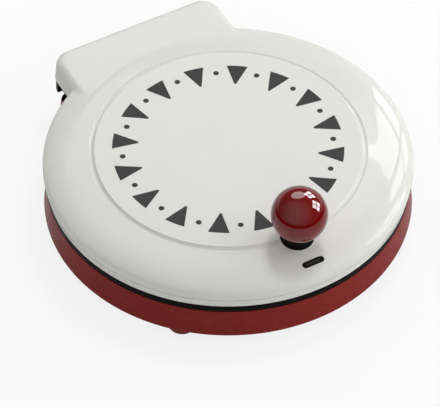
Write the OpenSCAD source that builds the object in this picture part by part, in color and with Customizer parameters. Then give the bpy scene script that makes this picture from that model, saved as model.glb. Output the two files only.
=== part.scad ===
// Electric pizza maker: a round base and a hinged, domed lid, each with a cast
// cooking plate and a sheathed heater, closed along a dark seam band.
// Modules work about the axis of the round base, front towards -Y. place() then
// moves every node so that the origin is the centre of the footprint on the table.

/* [Base] */
// Height of the feet, rubber pads included
foot_h = 10; // [8:1:14]
// Radius of the base shell at its lower edge
base_r = 165.5; // [155:0.5:180]
// Height of the base shell
base_h = 29.5; // [29:0.5:36]
// How much the base shell narrows towards its top
base_draft = 3; // [1:0.5:4]
// Rounding along the lower edge of the base shell
base_edge_r = 3; // [1:0.5:5]
// How far the squared rear is wider than the hood, on each side
rear_side = 1.5; // [1:0.5:5]
// Distance of the flat rear wall behind the round body
rear_out = 1; // [0.6:0.1:2]
// Corner rounding of the squared rear
rear_corner_r = 8; // [6:1:14]
// Wall of the moulded shells
wall = 2.5; // [2:0.1:2.8]

/* [Seam band] */
// Height of the black bezel between the shells
band_h = 7.1; // [6.5:0.1:9]
// Gap between the closed lid and the bezel
seam_gap = 0.4; // [0.3:0.1:1]

/* [Lid] */
// How far the crease of the lid lies inside the lower edge of the base
lid_inset = 0.5; // [0:0.1:1]
// Height of the lid flange below the crease
flange_h = 11; // [10:0.5:14]
// How much the flange tucks in towards its lower edge
flange_tuck = 2.6; // [1:0.2:3]
// Rise of the lid from the crease to its top disc
crown_h = 18; // [18:0.5:22]
// Width of the rim, from the crease in to the shoulder
rim_w = 28; // [25:0.5:30]
// Drop from the top disc to the shoulder
shoulder_drop = 2.8; // [2:0.1:3.4]
// Slope of the rim where it leaves the shoulder, in degrees
rim_slope = 9; // [6:0.5:11]
// Fullness of the rim curve, 2 is an ellipse
rim_power = 3; // [2.4:0.1:3.4]

/* [Groove] */
// Width of the flat ring between the groove and the shoulder
ring_w = 13; // [10:0.5:16]
// Width of the groove around the disc
groove_w = 5.2; // [4:0.1:6]
// Depth of the groove
groove_d = 1.7; // [1:0.1:1.9]

/* [Hood] */
// Width of the hinge hood
hood_w = 169; // [160:1:174]
// Distance from the hinge axis to the rear of the hood
hood_behind = 10.8; // [9.2:0.1:12]
// Height of the top of the hood above the lower edge of the lid
hood_h = 25.8; // [24:0.1:25.9]
// Height of the hood's lower edge above the lower edge of the lid
hood_lift = 4.5; // [4:0.5:6]
// Corner rounding of the hood, seen from above
hood_corner_r = 16; // [12:1:20]
// Rounding along the top edge of the hood
hood_edge_r = 6; // [3:0.5:7]

/* [Hinge] */
// Distance from the rear wall of the base to the hinge axis
axis_back = 9.5; // [9.4:0.1:10]
// Height of the hinge axis above the top of the base shell
axis_up = 3; // [2.6:0.1:3.4]
// Radius of the hinge pin
pin_r = 2.5; // [2:0.1:3]
// Radius of the bracket barrels
barrel_r = 5.5; // [5:0.1:5.6]
// Distance from the side of the hood in to the middle of a bracket
bracket_in = 24.5; // [22:0.5:30]
// Width of each bracket
bracket_w = 14; // [10:0.5:16]
// How far the lid opens, in degrees
open_angle = 100; // [96:1:102]

/* [Cooking plates] */
// Width of the seam, from the top of the base in to the mouth of the dishes
seam_w = 16.5; // [16:0.5:20]
// Depth of the lower dish below its rim
lower_depth = 19; // [16:0.5:19.5]
// Depth of the upper dish above its rim
upper_depth = 5.5; // [4:0.5:6]
// Thickness of the cast plates
plate_t = 3; // [2.5:0.1:3.4]
// How much each dish narrows from its mouth to its floor
dish_taper = 7; // [4:0.5:10]

/* [Heaters] */
// Distance from the mouth of the dishes in to the heater rings
heater_in = 51; // [44:1:56]
// Radius of the heater sheath
sheath_r = 3.2; // [2.8:0.1:3.4]
// Sheet thickness of the reflectors
sheet_t = 0.8; // [0.6:0.1:1]

/* [Knob] */
// Radius of the ball
ball_r = 25.4; // [22:0.2:28]
// Radius of the black collar under the ball
collar_r = 15; // [13:0.5:17]
// Height of the collar
collar_h = 11; // [8:0.5:13]
// Distance from the shoulder in to the middle of the knob
knob_in = 14.5; // [13:0.5:18]
// Lean of the knob towards the front, in degrees
knob_lean = 6; // [2:0.5:7]
// Radius of the steel stud
stud_r = 3; // [2.5:0.1:3.5]

/* [Indicator] */
// Length of the indicator window
window_l = 21; // [16:0.5:24]
// Width of the indicator window
window_w = 6; // [5:0.2:7]
// Distance from the shoulder out to the middle of the window
window_out = 14; // [12:0.5:15]

/* [Fasteners] */
// Radius of the housing screws
screw_r = 1.5; // [1.2:0.1:1.8]
// Radius of the housing screw heads
screw_head_r = 2.8; // [2.4:0.1:3]
// Number of screws that hold each shell to its bezel
screw_count = 6; // [4:1:8]

/* [Feet and cord] */
// Distance from the edge of the base in to the middle of a foot
foot_in = 18.5; // [17:0.5:24]
// Radius of a foot where it meets the base
foot_r = 15; // [12:0.5:16]
// Distance of the cord gland from the middle
gland_x = 40; // [30:0.5:44]
// Radius of the hole for the cord
cord_r = 3.6; // [3:0.1:4]

/* [Hidden] */
$fn = 96;

// colours
red_shell = "#7d2a28";
white_shell = "#e6e5e1";
black_bezel = "#1b1c1c";
coating = "#2c2c2e";
bright_steel = "#b9bcc0";
ceramic_white = "#e8e2d4";
brass_yellow = "#c9a24f";

// small values that repeat
cut = 1;                 // how far a cutter runs past the face it cuts
fit = 0.3;               // clearance between pieces that sit in each other
pin_clear = 0.05;        // running clearance of the hinge pin
screw_clear = 0.05;      // clearance of a screw in its pilot hole
head_h = 1.8;            // height of the screw heads
head_round = 0.8;        // rounding of the screw heads
cross_l = 3;             // arms, width and depth of the cross in a screw head
cross_w = 0.7;
cross_d = 0.8;
pad_h = 2;               // height of the rubber pads

// levels above the table
base_z = foot_h;
base_top = base_z + base_h;
band_top = base_top + band_h;
lid_z = band_top + seam_gap;
crease_z = lid_z + flange_h;
lid_top = crease_z + crown_h;
hood_top = lid_z + hood_h;
hood_z = lid_z + hood_lift;
floor_z = base_z + wall;

// radii of the stack at the seam, from outside in
top_r = base_r - base_draft;          // base shell at its top
lid_r = base_r - lid_inset;           // lid at its crease, its widest
shoulder_r = lid_r - rim_w;           // where the flat ring turns into the rim
lip_r = shoulder_r - ring_w;          // outer edge of the groove
disc_r = lip_r - groove_w;            // inner edge of the groove
dish_r = top_r - seam_w;              // mouth of the cooking dishes
heater_ring_r = dish_r - heater_in;
knob_at = shoulder_r - knob_in;
window_at = shoulder_r + window_out;
foot_at = (base_r - foot_in) / sqrt(2);
shell_in_r = top_r - wall;            // inside of the base shell at its top
bezel_r = top_r - fit;                // outside of the base bezel
plate_wall_r = dish_r + plate_t;      // outside of a dish at its mouth
flange_reach = 3.8;                   // how far a plate flange reaches past the dish wall
plate_r = plate_wall_r + flange_reach;
bezel_in_r = plate_r + fit;           // opening of the base bezel above its ledge
ledge_in_r = plate_wall_r + 4 * fit;  // opening of the ledge that carries the plate
pillar_r = 3.6;                       // screw pillars
pillar_at = shell_in_r - fit - pillar_r;
flange_r = lid_r - flange_tuck;       // lid at its lower edge
lid_in_r = flange_r - wall;           // inside of the lid at its lower edge

// levels of the lower plate and what hangs under it
ledge_top = base_top + band_h / 2;
flange_t = 3;                         // thickness of the plate flanges
lower_rim_z = ledge_top + flange_t;
lower_floor_z = lower_rim_z - lower_depth;
lower_back_z = lower_floor_z - plate_t;
tray_gap = 1.4;                       // from the heater sheath to the reflector
lower_tray_z = lower_back_z - 2 * sheath_r - tray_gap;
ledge_t = 2;
deck_t = 2;                           // black deck over the squared rear of the base

// levels of the upper plate and what stands on it
lid_ledge_t = 1.5;
lid_bezel_h = 4;
upper_rim_z = lid_z + lid_ledge_t;
upper_flange_t = 2.5;
upper_flange_r = lid_in_r - 7.9;
upper_floor_z = upper_rim_z + upper_depth;
upper_back_z = upper_floor_z + plate_t;
upper_tray_z = upper_back_z + 2 * sheath_r + sheet_t + 0.5;
tab_z = upper_rim_z + upper_flange_t + sheet_t;
lid_boss_r = 3.8;
lid_boss_at = lid_in_r - fit - lid_boss_r - 0.5;

// hinge
rear_y = top_r + rear_out;            // rear wall of the base, at its top
rear_half_w = hood_w / 2 + rear_side; // side of the squared rear, at its top
rear_from_y = top_r - 62.5;           // front of the squared rear, inside the round body
axis_y = rear_y + axis_back;
bracket_x = hood_w / 2 - bracket_in;
hood_back = axis_y + hood_behind;
hood_from_y = disc_r - 28.8;          // front of the hood, inside the dome
axis_z = base_top + axis_up;
beam_in_y = axis_y - pin_r - 2.5;      // front of the hinge beam
beam_z = base_top - 1;                // underside of the hinge beam
cover_inset = 0.5;
beam_out_y = hood_back - cover_inset; // rear of the hinge beam
web_y = axis_y + barrel_r + 0.5;      // inner face of the web behind the barrels
cover_z = hood_z - 2;                 // underside of the hood cover
notch_w = bracket_w + 2;              // opening in the beam for a bracket
pin_half = hood_w / 2 - 4;

// lid profile
shoulder_z = lid_top - shoulder_drop;
lip_z = lid_top - shoulder_drop / 2;
rim_drop = crown_h - shoulder_drop - rim_w * tan(rim_slope);
lip_h = 1.2;                          // bead along the lower edge of the lid
lip_out = 0.5;
crease_in = 1.2;                      // depth of the crease above the flange

// knob
ball_seat = 23 / 25.4 * ball_r;       // from the ball's centre to its flat underside
boss_r = collar_r + 0.6;              // raised pad under the collar
knob_seat_z = lid_top - 0.7;
washer_h = 1;
washer_r = 7;
stud_head_h = 3;
stud_reach = 16;                      // how far the stud goes into the ball
insert_wall = 2.5;

// footprint
centre_y = (hood_back - base_r) / 2;

// ---------------------------------------------------------------- helpers

module place() translate([0, -centre_y, 0]) children();

module mirror_x() {
    children();
    mirror([1, 0, 0]) children();
}

// points of an arc about c, radius r, from angle a to angle b
function arc(c, r, a, b, n = 6) =
    [for (i = [0:n]) let (t = a + (b - a) * i / n) c + r * [cos(t), sin(t)]];

// a square with two rear corners rounded, from y0 back to y1
module rear_slab(half_w, y0, y1, r) {
    translate([-half_w, y0]) square([2 * half_w, y1 - y0 - r]);
    translate([-(half_w - r), y0]) square([2 * (half_w - r), y1 - y0]);
    for (s = [-1, 1]) translate([s * (half_w - r), y1 - r]) circle(r);
}

// points moved to a grid of 0.001 mm, so that walls made from the same ones meet exactly
function on_grid(points) = [for (p = points) [round(1000 * p.x), round(1000 * p.y)] / 1000];

// a wall section turned about the Z axis at radius r
module revolved(section, r) rotate_extrude() polygon(concat([[0, section[0].y]],
    [for (p = section) [r + p.x, p.y]], [[0, section[len(section) - 1].y]]));

// a block from y0 back to y1 whose side and rear walls follow a section,
// with the rear corners rounded to r
module walled_block(wall_section, half_w, y0, y1, r) {
    section = on_grid(wall_section);
    last = len(section) - 1;
    for (s = [-1, 1]) translate([s * (half_w - r), y1 - r, 0]) revolved(section, r);
    translate([-(half_w - r), 0, 0]) rotate([90, 0, 90]) linear_extrude(2 * (half_w - r))
        polygon(concat([[y0, section[0].y]], [for (p = section) [y1 + p.x, p.y]],
            [[y0, section[last].y]]));
    translate([0, y1 - r, 0]) rotate([90, 0, 0]) linear_extrude(y1 - r - y0)
        polygon(concat([for (p = section) [half_w + p.x, p.y]],
            [for (i = [last:-1:0]) [-half_w - section[i].x, section[i].y]]));
}

// a stadium, long side along X, from z = 0 up
module stadium(l, w, h) {
    translate([-(l - w) / 2, -w / 2, 0]) cube([l - w, w, h]);
    for (s = [-1, 1]) translate([s * (l - w) / 2, 0, 0]) cylinder(d = w, h = h);
}

// copies its children n times around the Z axis
module around(n, first = 0) {
    for (i = [0:n - 1]) rotate(first + i * 360 / n) children();
}

// a pan-head screw, shaft up from z = 0 and head below
module screw_up(shaft_l, r = screw_r, head_r = screw_head_r) {
    cylinder(r = r, h = shaft_l);
    difference() {
        rotate_extrude() polygon(concat([[0, 0], [head_r, 0]],
            arc([head_r - head_round, head_round - head_h], head_round, 0, -90), [[0, -head_h]]));
        for (a = [0, 90]) rotate(a) translate([-cross_l / 2, -cross_w / 2, -head_h - cut])
            cube([cross_l, cross_w, cut + cross_d]);
    }
}

// ---------------------------------------------------------------- base

// wall section of the base, as [distance outside the top edge, height] pairs
function base_grow(z) = base_draft * (base_top - z) / base_h;
function base_section(off, z0, z1, edge_r) = let (e = max(edge_r - off, edge_r / 6)) concat(
    arc([base_grow(z0 + e) - off - e, z0 + e], e, -90, 0), [[base_grow(z1) - off, z1]]);

rear_edge_more = 0.2;                 // the squared rear is rounded this much more

module base_body(off, z0, z1) {
    revolved(base_section(off, z0, z1, base_edge_r), top_r);
    walled_block(base_section(off, z0, z1, base_edge_r + rear_edge_more),
        rear_half_w, rear_from_y, rear_y, rear_corner_r);
}

pillar_split = floor_z + 7;           // where a floor pillar meets a bezel pillar
pillar_turn = 0;                      // first screw; none falls behind the knob or the window

foot_boss_r = 5;                      // bosses inside the floor that take the foot screws
foot_boss_h = 2.4;

module floor_pillars() {
    around(screw_count, pillar_turn) translate([pillar_at, 0, base_z])
        cylinder(r = pillar_r, h = pillar_split - base_z);
    for (x = [-1, 1], y = [-1, 1]) translate([x * foot_at, y * foot_at, base_z])
        cylinder(r = foot_boss_r, h = wall + foot_boss_h);
}

module floor_holes() {
    around(screw_count, pillar_turn) translate([pillar_at, 0, base_z - cut]) {
        cylinder(r = screw_r + 0.3, h = pillar_split);
        cylinder(r = screw_head_r + 0.2, h = cut + wall + head_h);
    }
    for (x = [-1, 1], y = [-1, 1]) translate([x * foot_at, y * foot_at, base_z - cut])
        cylinder(r = screw_r + screw_clear, h = cut + wall + foot_boss_h - 0.6);
}

vent_rings = 3;
vent_count = 8;                       // air slots in each ring
vent_at = 36;                         // radius of the first ring
vent_pitch = 13;
vent_w = 3;
vent_l = 15;

// rings of air slots in the floor
module floor_vents() {
    for (ring = [0:vent_rings - 1]) around(vent_count, 180 / vent_count)
        translate([vent_at + ring * vent_pitch, 0, base_z - cut]) rotate(90)
            stadium(vent_l + ring * 4, vent_w, wall + 2 * cut);
}

module base_shell() color(red_shell) {
    difference() {
        union() {
            difference() {
                base_body(0, base_z, base_top);
                base_body(wall, floor_z, base_top + cut);
            }
            floor_pillars();
        }
        floor_holes();
        floor_vents();
        // the black deck drops in here, over the squared rear
        translate([0, 0, base_top - deck_t]) linear_extrude(deck_t + cut)
            rear_slab(rear_half_w + cut, rear_from_y, rear_y + cut, rear_corner_r);
        translate([gland_x, gland_in_y - cut, gland_z]) rotate([-90, 0, 0])
            cylinder(r = gland_neck_r + 0.1, h = 20);
    }
}

// ---------------------------------------------------------------- feet

module feet() color(red_shell) for (x = [-1, 1], y = [-1, 1])
    translate([x * foot_at, y * foot_at, 0]) rotate_extrude() polygon(concat(
        [[screw_r + 0.3, pad_h], [foot_r - 2.5, pad_h]],
        arc([foot_r - 2.5, pad_h + 1.2], 1.2, -90, 0),
        [[foot_r, foot_h], [screw_r + 0.3, foot_h]]));

module foot_pads() color(black_bezel) for (x = [-1, 1], y = [-1, 1])
    translate([x * foot_at, y * foot_at, 0]) difference() {
        cylinder(r = foot_r - 3, h = pad_h);
        translate([0, 0, -cut]) cylinder(r = screw_head_r + 0.3, h = 2 * pad_h + cut);
    }

module foot_screws() color(bright_steel) for (x = [-1, 1], y = [-1, 1])
    translate([x * foot_at, y * foot_at, pad_h])
        screw_up(foot_h - pad_h + wall + foot_boss_h - 0.9);

// ---------------------------------------------------------------- base bezel

deck_boss_h = 4;                      // bosses under the deck that take the bracket screws

// the places of the bracket screws
module bracket_screw_places() mirror_x() for (x = [-1, 1])
    translate([bracket_x + x * bracket_screw_dx, bracket_screw_y, 0]) children();

// flat deck behind the ring; the hinge brackets stand on it
module rear_deck() difference() {
    union() {
        translate([0, 0, base_top - deck_t]) linear_extrude(deck_t)
            rear_slab(rear_half_w - fit, rear_from_y, rear_y - fit, rear_corner_r - fit);
        bracket_screw_places() translate([0, 0, base_top - deck_t - deck_boss_h])
            cylinder(r = bracket_screw_r + 1.4, h = deck_boss_h + deck_t / 4);
    }
    cylinder(r = shell_in_r - fit - 1, h = lid_top);
    bracket_screw_places() translate([0, 0, base_top - deck_t - deck_boss_h + 1])
        cylinder(r = bracket_screw_r + screw_clear, h = deck_t + deck_boss_h + cut);
}

module base_bezel() color(black_bezel) difference() {
    union() {
        rear_deck();
        rotate_extrude() polygon([
            [ledge_in_r, ledge_top - ledge_t], [bezel_in_r + 1.5, ledge_top - ledge_t],
            [bezel_in_r + 1.5, base_top], [shell_in_r - fit - 2, base_top],
            [shell_in_r - fit - 2, base_top - 3], [shell_in_r - fit, base_top - 3],
            [shell_in_r - fit, base_top], [bezel_r, base_top],
            [bezel_r, band_top - 0.8], [bezel_r - 0.8, band_top],
            [bezel_in_r + 0.6, band_top], [bezel_in_r, band_top - 0.6],
            [bezel_in_r, ledge_top], [ledge_in_r, ledge_top]]);
        around(screw_count, pillar_turn) translate([pillar_at, 0, pillar_split])
            cylinder(r = pillar_r, h = base_top + 2 - pillar_split);
    }
    around(screw_count, pillar_turn) translate([pillar_at, 0, pillar_split - cut])
        cylinder(r = screw_r + screw_clear, h = screw_bite + cut);
}

screw_bite = 12;                      // thread length in the bezel pillars

module base_screws() color(bright_steel)
    around(screw_count, pillar_turn)
        translate([pillar_at, 0, base_z + wall + head_h])
            screw_up(pillar_split + screw_bite - 0.5 - base_z - wall - head_h);

// ---------------------------------------------------------------- cooking plates

plate_boss_r = 4;
plate_boss_at = heater_ring_r - 33;
dish_round = 5;                       // rounding between floor and wall

// half section of a dish: floor at 0, mouth at depth, flange turned out at the mouth
function dish_section(depth, reach, rim_t, out_r) = let (floor_r = dish_r - dish_taper) concat(
    [[0, 0]], arc([floor_r - dish_round, dish_round], dish_round, -90, -20),
    [[dish_r, depth], [out_r, depth], [out_r, depth - rim_t], [plate_wall_r, depth - rim_t]],
    arc([floor_r + plate_t - dish_round, dish_round - plate_t], dish_round, -20, -90),
    [[0, -plate_t]]);

module plate_bosses(h) around(4, 45) translate([plate_boss_at, 0, 0])
    cylinder(r = plate_boss_r, h = h);

module plate_boss_bores(h) around(4, 45) translate([plate_boss_at, 0, 0])
    cylinder(r = screw_r + screw_clear, h = h);

module lower_plate() color(coating) difference() {
    union() {
        translate([0, 0, lower_floor_z])
            rotate_extrude() polygon(dish_section(lower_depth, flange_reach, flange_t, plate_r));
        translate([0, 0, lower_tray_z]) plate_bosses(lower_back_z - lower_tray_z + 0.5);
    }
    translate([0, 0, lower_tray_z - cut]) plate_boss_bores(cut + lower_back_z - lower_tray_z - 1);
}

module upper_plate() color(coating) difference() {
    union() {
        translate([0, 0, upper_floor_z]) mirror([0, 0, 1]) rotate_extrude()
            polygon(dish_section(upper_depth, flange_reach, upper_flange_t, upper_flange_r));
        translate([0, 0, upper_back_z - 0.5])
            plate_bosses(upper_tray_z - sheet_t - upper_back_z + 0.5);
    }
    translate([0, 0, upper_back_z + 1]) plate_boss_bores(upper_tray_z - upper_back_z);
}

// ---------------------------------------------------------------- heaters

heater_gap = 22;                      // half angle left open at the rear of the ring
elbow_r = 10;
lead_end = plate_wall_r + 5;          // how far the cold ends reach
lead_hole_l = 50;                     // depth of the cut for a cold end

// the resistance core inside the sheath, where two bends or a bend and a lead meet
module heater_core(turn) rotate([0, 90, turn])
    cylinder(r = 0.8 * sheath_r, h = sheath_r, center = true);

// the bent sheath, its centre line on z = 0, its ends leaving towards the rear
module heater_sheath() {
    rotate(90 + heater_gap) rotate_extrude(angle = 360 - 2 * heater_gap)
        translate([heater_ring_r, 0]) circle(sheath_r);
    mirror_x() rotate(90 - heater_gap) {
        translate([heater_ring_r + elbow_r, 0, 0]) rotate(90) rotate_extrude(angle = 90)
            translate([elbow_r, 0]) circle(sheath_r);
        translate([heater_ring_r + elbow_r, elbow_r, 0]) rotate([0, 90, 0])
            cylinder(r = sheath_r, h = lead_end - heater_ring_r - elbow_r);
        translate([heater_ring_r, 0, 0]) heater_core(90);
        translate([heater_ring_r + elbow_r, elbow_r, 0]) heater_core(0);
    }
}

bead_l = 2.2;                         // ceramic bead on a cold end
tag_l = 3;                            // flat tag that sticks out of it
tag_w = 4;
tag_t = 0.8;

// ceramic beads and flat tags on the cold ends
module heater_ends() {
    mirror_x() rotate(90 - heater_gap) translate([lead_end, elbow_r, 0]) {
        rotate([0, 90, 0]) cylinder(r = sheath_r - 0.5, h = bead_l);
        translate([bead_l, -tag_w / 2, -tag_t / 2]) cube([tag_l, tag_w, tag_t]);
    }
}

lower_heater_z = lower_back_z - sheath_r - 0.1;
upper_heater_z = upper_back_z + sheath_r + 0.1;

module lower_heater() color(bright_steel) translate([0, 0, lower_heater_z]) heater_sheath();
module upper_heater() color(bright_steel) translate([0, 0, upper_heater_z]) heater_sheath();
module lower_heater_terminals() color(ceramic_white)
    translate([0, 0, lower_heater_z]) heater_ends();
module upper_heater_terminals() color(ceramic_white)
    translate([0, 0, upper_heater_z]) heater_ends();

// holes for the cold ends in a reflector wall
module lead_holes() mirror_x() rotate(90 - heater_gap)
    translate([dish_r - dish_taper - lead_hole_l / 2, elbow_r, 0]) rotate([0, 90, 0])
        cylinder(r = sheath_r + fit, h = lead_hole_l);

// ---------------------------------------------------------------- reflectors

lower_tray_r = ledge_in_r - sheet_t;
tray_round = 3;

module lower_reflector() color(bright_steel) difference() {
    rotate_extrude() polygon(concat(
        [[0, lower_tray_z - sheet_t]],
        arc([lower_tray_r - tray_round, lower_tray_z - sheet_t + tray_round], tray_round, -90, 0),
        [[lower_tray_r, ledge_top - ledge_t - sheet_t],
         [bezel_in_r - 1.5, ledge_top - ledge_t - sheet_t],
         [bezel_in_r - 1.5, ledge_top - ledge_t], [lower_tray_r - sheet_t, ledge_top - ledge_t]],
        arc([lower_tray_r - tray_round, lower_tray_z - sheet_t + tray_round],
            tray_round - sheet_t, 0, -90),
        [[0, lower_tray_z]]));
    translate([0, 0, lower_tray_z - sheet_t - cut]) plate_boss_bores(sheet_t + 2 * cut);
    translate([0, thermostat_y, 0]) cylinder(r = thermostat_r + 1, h = lower_tray_z + cut);
    translate([0, 0, lower_heater_z]) lead_holes();
}

upper_tray_foot_r = upper_flange_r - 0.6;
upper_tray_in_r = plate_wall_r + sheet_t + 0.2;
upper_tray_top_r = dish_r - 6;

module upper_reflector() color(bright_steel) difference() {
    rotate_extrude() polygon([
        [0, upper_tray_z], [upper_tray_top_r, upper_tray_z],
        [upper_tray_in_r, tab_z], [upper_tray_foot_r, tab_z],
        [upper_tray_foot_r, tab_z - sheet_t], [upper_tray_in_r - sheet_t, tab_z - sheet_t],
        [upper_tray_top_r - sheet_t, upper_tray_z - sheet_t], [0, upper_tray_z - sheet_t]]);
    translate([0, 0, upper_tray_z - sheet_t - cut]) plate_boss_bores(sheet_t + 2 * cut);
    translate([0, thermostat_y, upper_back_z]) cylinder(r = thermostat_r + 1, h = lid_top);
    translate([0, 0, upper_heater_z]) lead_holes();
}

module lower_reflector_screws() color(bright_steel) around(4, 45)
    translate([plate_boss_at, 0, lower_tray_z - sheet_t])
        screw_up(lower_back_z - lower_tray_z + sheet_t - 1.5);

module upper_reflector_screws() color(bright_steel) around(4, 45)
    translate([plate_boss_at, 0, upper_tray_z]) mirror([0, 0, 1])
        screw_up(upper_tray_z - upper_back_z - 1.5);

// ---------------------------------------------------------------- controls inside

thermostat_r = 6.4;
thermostat_y = -18;
thermostat_face_t = 1;                // sensing disc and ears
thermostat_h = 5.5;
blade_w = 3.2;                        // the two blades it is wired by
blade_t = 0.8;
blade_h = 1.5;

// a disc thermostat with two ears, its sensing face on z = 0 and its body below
module disc_thermostat() {
    translate([0, 0, -thermostat_face_t]) cylinder(r = thermostat_r + 1.6, h = thermostat_face_t);
    translate([0, 0, -thermostat_face_t]) stadium(4 * thermostat_r, 7, thermostat_face_t);
    translate([0, 0, -thermostat_h])
        cylinder(r = thermostat_r, h = thermostat_h - thermostat_face_t);
    for (s = [-1, 1])
        translate([s * thermostat_r / 2 - blade_t / 2, -blade_w / 2, -thermostat_h - blade_h])
            cube([blade_t, blade_w, blade_h]);
}

module lower_thermostat() color(black_bezel)
    translate([0, thermostat_y, lower_back_z]) disc_thermostat();
module upper_thermostat() color(black_bezel)
    translate([0, thermostat_y, upper_back_z]) mirror([0, 0, 1]) disc_thermostat();

fuse_y = 28;
fuse_r = 2.1;
fuse_l = 18;
clip_l = 6;                           // along the fuse
clip_t = 0.8;
clip_gap = 0.3;                       // from the fuse to the inside of its clip
clip_ear = 1.6;
clip_half = fuse_r + clip_gap + clip_t;

// the one-shot fuse in its sleeve, clipped against the back of the lower plate
module thermal_fuse() color(ceramic_white) translate([0, fuse_y, lower_back_z]) {
    translate([-fuse_l / 2, 0, -fuse_r - 0.1]) rotate([0, 90, 0])
        cylinder(r = fuse_r, h = fuse_l);
    translate([-clip_l / 2, 0, 0]) rotate([90, 0, 90]) linear_extrude(clip_l) difference() {
        union() {
            translate([-clip_half, -2 * clip_half]) square([2 * clip_half, 2 * clip_half]);
            translate([-clip_half - clip_ear, -clip_t])
                square([2 * (clip_half + clip_ear), clip_t]);
        }
        translate([-clip_half + clip_t, -2 * clip_half + clip_t])
            square([2 * (clip_half - clip_t), 2 * clip_half]);
    }
    // pad that the clip presses against the fuse
    translate([-clip_l / 2, -fuse_r / 2, -2 * clip_half + clip_t - 0.2])
        cube([clip_l, fuse_r, 2 * clip_half - clip_t - fuse_r]);
}

block_in = 24;                        // from the side of the rear in to the block
block_l = 19;
block_w = 11;
pole_pitch = 6;
pole_r = 1.6;                         // hole for a wire
pole_screw_r = 1.4;
slit_w = 1;                           // between two poles
pole_z = 7;

module terminal_block() color(ceramic_white)
    translate([rear_half_w - block_in, rear_y - 16.5, floor_z]) difference() {
        cube([block_l, block_w, block_w]);
        for (i = [0:2]) translate([block_l / 2 + (i - 1) * pole_pitch, 0, pole_z]) {
            translate([0, -cut, 0]) rotate([-90, 0, 0])
                cylinder(r = pole_r, h = block_w + 2 * cut);
            translate([0, block_w / 2, 0]) cylinder(r = pole_screw_r, h = block_w);
        }
        for (s = [-1, 1])
            translate([block_l / 2 + (s * pole_pitch - slit_w) / 2, -cut, pole_z + 1])
                cube([slit_w, block_w + 2 * cut, block_w]);
    }

// ---------------------------------------------------------------- cord gland

gland_neck_r = cord_r + 2.4;
gland_flange_r = gland_neck_r + 2;
gland_z = floor_z + gland_flange_r;
gland_wall_y = rear_y + base_draft * (base_top - gland_z) / base_h;
gland_in_y = gland_wall_y - wall - 3;
gland_out_y = gland_wall_y + 4;

module cord_gland() color(black_bezel)
    translate([gland_x, 0, gland_z]) rotate([-90, 0, 0]) difference() {
        union() {
            translate([0, 0, gland_in_y]) cylinder(r = gland_neck_r, h = gland_out_y - gland_in_y);
            translate([0, 0, gland_wall_y + gland_lift])
                cylinder(r1 = gland_flange_r, r2 = gland_flange_r - 0.6, h = 2.4);
            translate([0, 0, gland_wall_y - wall - gland_lift - 1.2])
                cylinder(r = gland_neck_r + 1.1, h = 1.2);
        }
        translate([0, 0, gland_in_y - cut])
            cylinder(r = cord_r, h = gland_out_y - gland_in_y + 2 * cut);
    }
gland_lift = base_draft * gland_flange_r / base_h + 0.1;   // clears the drafted wall

// ---------------------------------------------------------------- hinge

bracket_screw_dx = 3.6;
bracket_screw_r = 1.2;
bracket_foot_y = rear_y - 8;
bracket_screw_y = rear_y - 5.4;
bracket_foot_t = 2.5;
arm_from = 1.6;                       // from the rear wall in to where the arm rises
heel_gap = 0.9;                       // from the rear wall to the bracket's heel
heel_h = 5;
heel_drop = 7.4;                      // from the hinge axis down to the underside of the heel
heel_short = 5.2;                     // from the hinge axis to the rear of the heel

module along_hinge(r, half) translate([0, axis_y, axis_z]) rotate([0, 90, 0])
    cylinder(r = r, h = 2 * half, center = true);

// the web behind a barrel, as the cover carries it, grown by g
module hinge_web(g = 0) translate([-hood_w / 2, web_y - g, beam_z - g])
    cube([hood_w, beam_out_y - web_y + 2 * g, hood_z - beam_z + 2 * g]);

// what the web occupies when the lid is fully open
module web_when_open(g) translate([0, axis_y, axis_z]) rotate([-open_angle, 0, 0])
    translate([0, -axis_y, -axis_z]) hinge_web(g);

module hinge_bracket() {
    x0 = bracket_x - bracket_w / 2;
    difference() {
        union() {
            // foot and arm, the arm running into the barrel above and below
            translate([x0, 0, 0]) rotate([90, 0, 90]) linear_extrude(bracket_w) polygon([
                [bracket_foot_y, base_top], [bracket_foot_y, base_top + bracket_foot_t],
                [rear_y - arm_from, base_top + bracket_foot_t],
                [axis_y - 0.55 * barrel_r, axis_z + 0.84 * barrel_r], [axis_y, axis_z],
                [axis_y - 0.36 * barrel_r, axis_z - 0.93 * barrel_r],
                [axis_y - 0.9 * barrel_r, base_top]]);
            translate([x0, axis_y, axis_z]) rotate([0, 90, 0])
                cylinder(r = barrel_r, h = bracket_w);
            // heel: the web of the cover comes to rest on it
            difference() {
                translate([x0, rear_y + heel_gap, axis_z - heel_drop])
                    cube([bracket_w, axis_back - heel_short - heel_gap, heel_h]);
                web_when_open(fit);
            }
        }
        translate([x0 - cut, axis_y, axis_z]) rotate([0, 90, 0])
            cylinder(r = pin_r + pin_clear, h = bracket_w + 2 * cut);
        for (x = [-1, 1])
            translate([bracket_x + x * bracket_screw_dx, bracket_screw_y, base_top - cut])
                cylinder(r = bracket_screw_r + 0.2, h = bracket_foot_t + 2 * cut);
    }
}

module hinge_brackets() color(black_bezel) mirror_x() hinge_bracket();

module hinge_screws() color(bright_steel) bracket_screw_places()
    translate([0, 0, base_top + bracket_foot_t])
        mirror([0, 0, 1])
        screw_up(bracket_foot_t + deck_t + deck_boss_h - 1.5, bracket_screw_r, bracket_screw_r + 1);

module hinge_pin() color(bright_steel) along_hinge(pin_r, pin_half);

// cover that closes the hood from below, with the beam that turns on the pin
module hood_outline() rear_slab(hood_w / 2 - cover_inset, rear_from_y,
    hood_back - cover_inset, hood_corner_r - cover_inset);

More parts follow.
